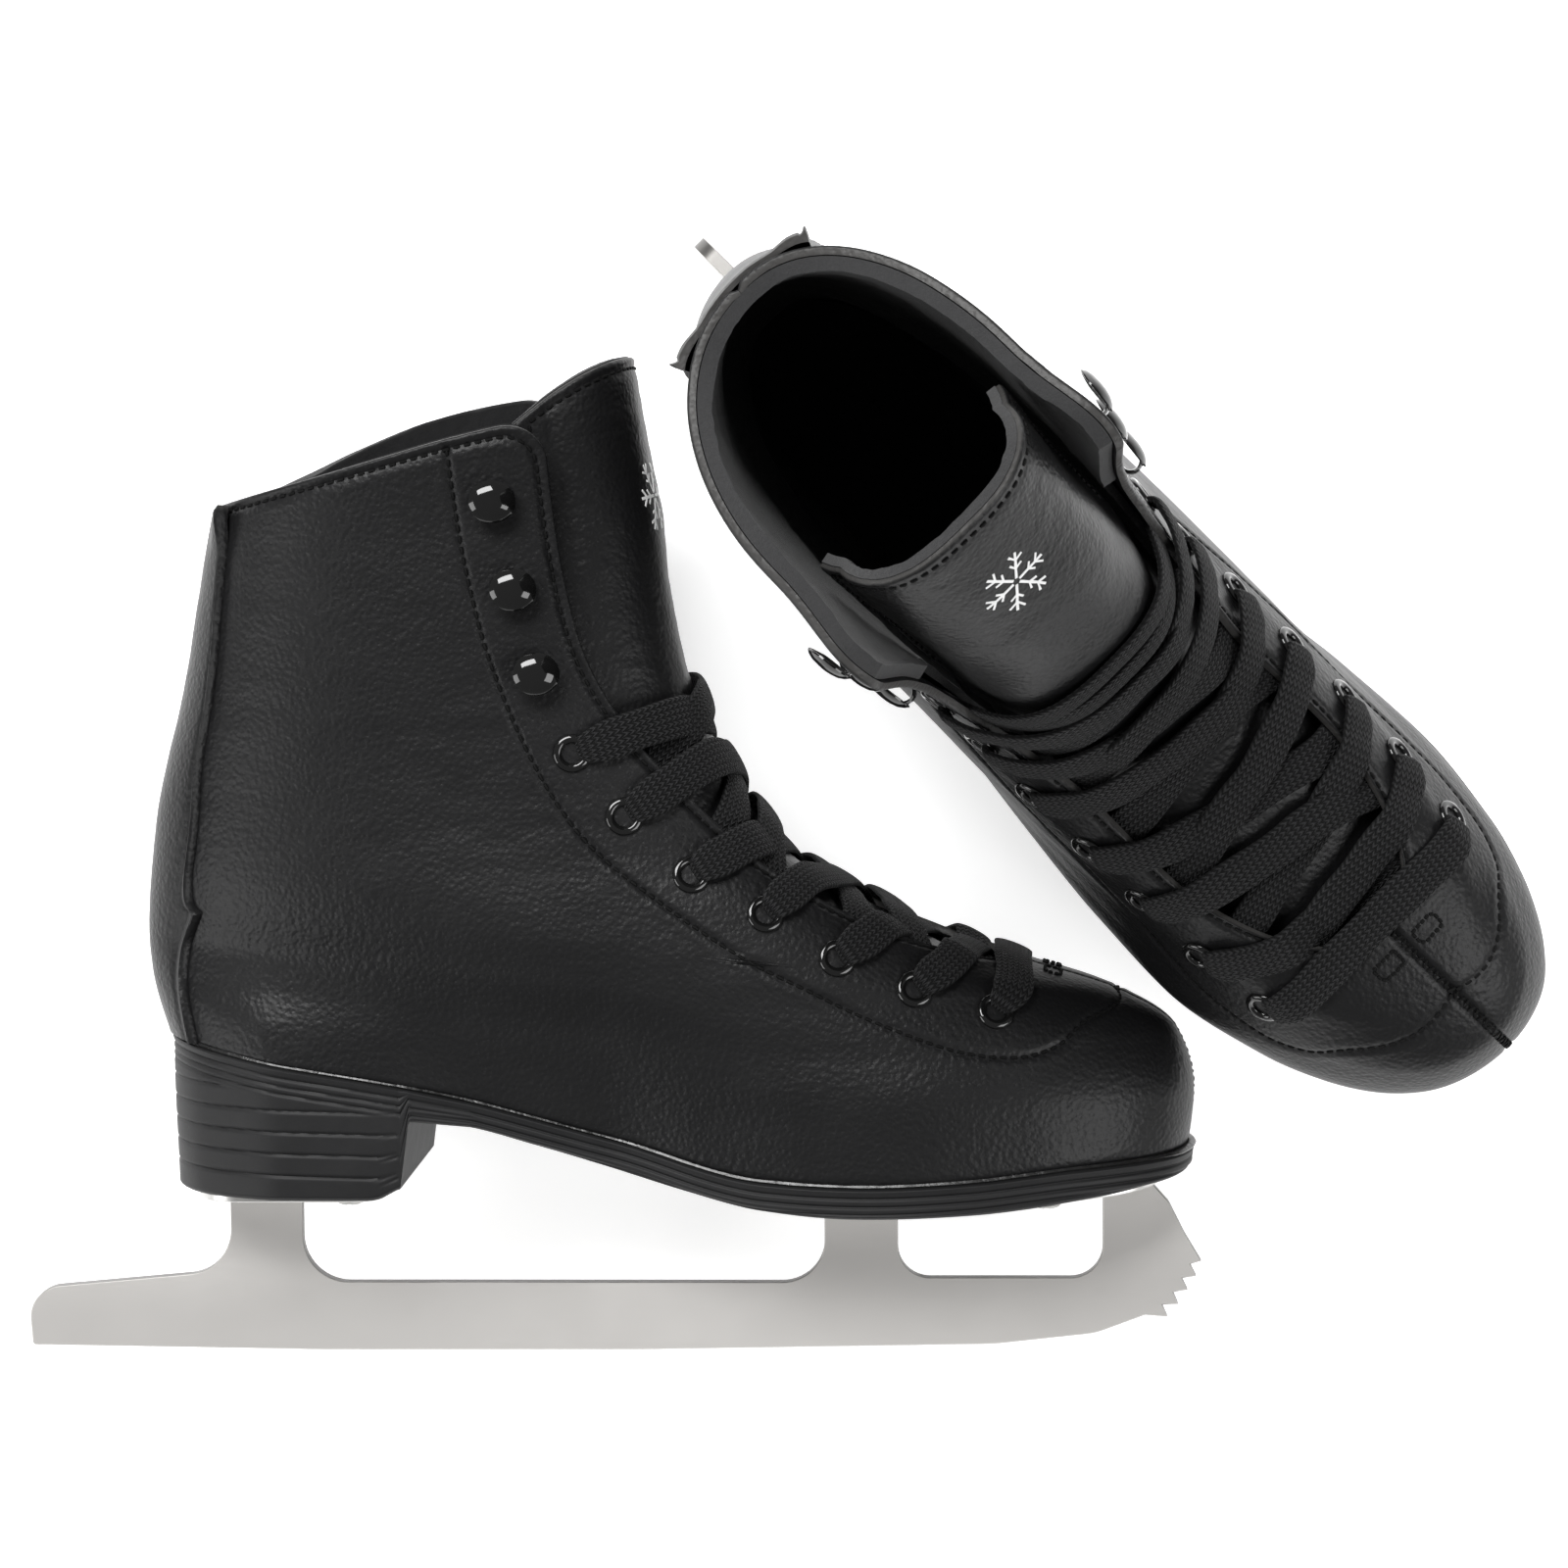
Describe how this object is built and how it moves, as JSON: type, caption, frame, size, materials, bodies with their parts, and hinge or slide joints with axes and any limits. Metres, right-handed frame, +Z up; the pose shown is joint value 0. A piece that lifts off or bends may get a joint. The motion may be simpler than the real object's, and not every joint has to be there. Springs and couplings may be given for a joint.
{
  "type": "pair of figure skates",
  "caption": "Black laced figure skates with steel blades, toe picks, heeled soles, lacing hooks, eyelets and hinged tongues; one lies on its side, one stands on its blade.",
  "frame": {"origin": "centre of the pair's bounding box, at the floor", "axes": "+Z up from the floor; +X along the lying left skate from its heel to its toe; +Y from its blade towards its collar"},
  "size_m": [0.4224, 0.3189, 0.276],
  "materials": {
    "leather_black": "satin, fine grain",
    "felt_lining": "fuzzy felt",
    "sole_rubber": "matte moulded",
    "fibreboard": "matte",
    "blade_steel": "satin brushed",
    "plate_steel": "satin",
    "black_enamel": "glossy enamel",
    "lace_braid": "flat braid"
  },
  "bodies": {
    "left_skate": {"left_blade": "blade_steel", "left_heel_plate": "plate_steel", "left_sole_plate": "plate_steel", "left_outsole": "sole_rubber", "left_shank": "plate_steel", "left_insole_board": "fibreboard", "left_footbed": "felt_lining", "left_quarter_lateral": "leather_black", "left_quarter_medial": "leather_black", "left_backstay": "leather_black", "left_lining": "felt_lining", "left_heel_counter": "fibreboard", "left_toe_puff": "fibreboard", "left_tongue_base": "leather_black", "left_lace": "lace_braid", "left_heel_screw_1": "plate_steel", "left_heel_screw_2": "plate_steel", "left_sole_screw_3": "plate_steel", "left_sole_screw_4": "plate_steel", "left_sole_screw_5": "plate_steel", "left_sole_screw_6": "plate_steel", "left_eyelet_stay_lateral": "black_enamel", "left_hook_lateral_1": "black_enamel", "left_hook_lateral_2": "black_enamel", "left_hook_lateral_3": "black_enamel", "left_eyelet_stay_medial": "black_enamel", "left_hook_medial_1": "black_enamel", "left_hook_medial_2": "black_enamel", "left_hook_medial_3": "black_enamel"},
    "left_tongue": {"left_tongue_flap": "leather_black"},
    "right_skate": {"right_blade": "blade_steel", "right_heel_plate": "plate_steel", "right_sole_plate": "plate_steel", "right_outsole": "sole_rubber", "right_shank": "plate_steel", "right_insole_board": "fibreboard", "right_footbed": "felt_lining", "right_quarter_lateral": "leather_black", "right_quarter_medial": "leather_black", "right_backstay": "leather_black", "right_lining": "felt_lining", "right_heel_counter": "fibreboard", "right_toe_puff": "fibreboard", "right_tongue_base": "leather_black", "right_lace": "lace_braid", "right_heel_screw_1": "plate_steel", "right_heel_screw_2": "plate_steel", "right_sole_screw_3": "plate_steel", "right_sole_screw_4": "plate_steel", "right_sole_screw_5": "plate_steel", "right_sole_screw_6": "plate_steel", "right_eyelet_stay_lateral": "black_enamel", "right_hook_lateral_1": "black_enamel", "right_hook_lateral_2": "black_enamel", "right_hook_lateral_3": "black_enamel", "right_eyelet_stay_medial": "black_enamel", "right_hook_medial_1": "black_enamel", "right_hook_medial_2": "black_enamel", "right_hook_medial_3": "black_enamel"},
    "right_tongue": {"right_tongue_flap": "leather_black"}
  },
  "joints": [
    {"name": "right_skate_lift", "type": "slide", "parent": "left_skate", "child": "right_skate", "axis": [0, 0, 1], "range_m": [0, 0.12]},
    {"name": "left_tongue_flex", "type": "hinge", "parent": "left_skate", "child": "left_tongue", "pos_m": [-0.0292, 0.0396, 0.07195], "axis": [0, -0.1045, 0.9945], "range_deg": [0, 20]},
    {"name": "right_tongue_flex", "type": "hinge", "parent": "right_skate", "child": "right_tongue", "pos_m": [0.08825, 0.02792, 0.20642], "axis": [-0.7015, -0.7102, -0.0592], "range_deg": [-14, 4]}
  ]
}
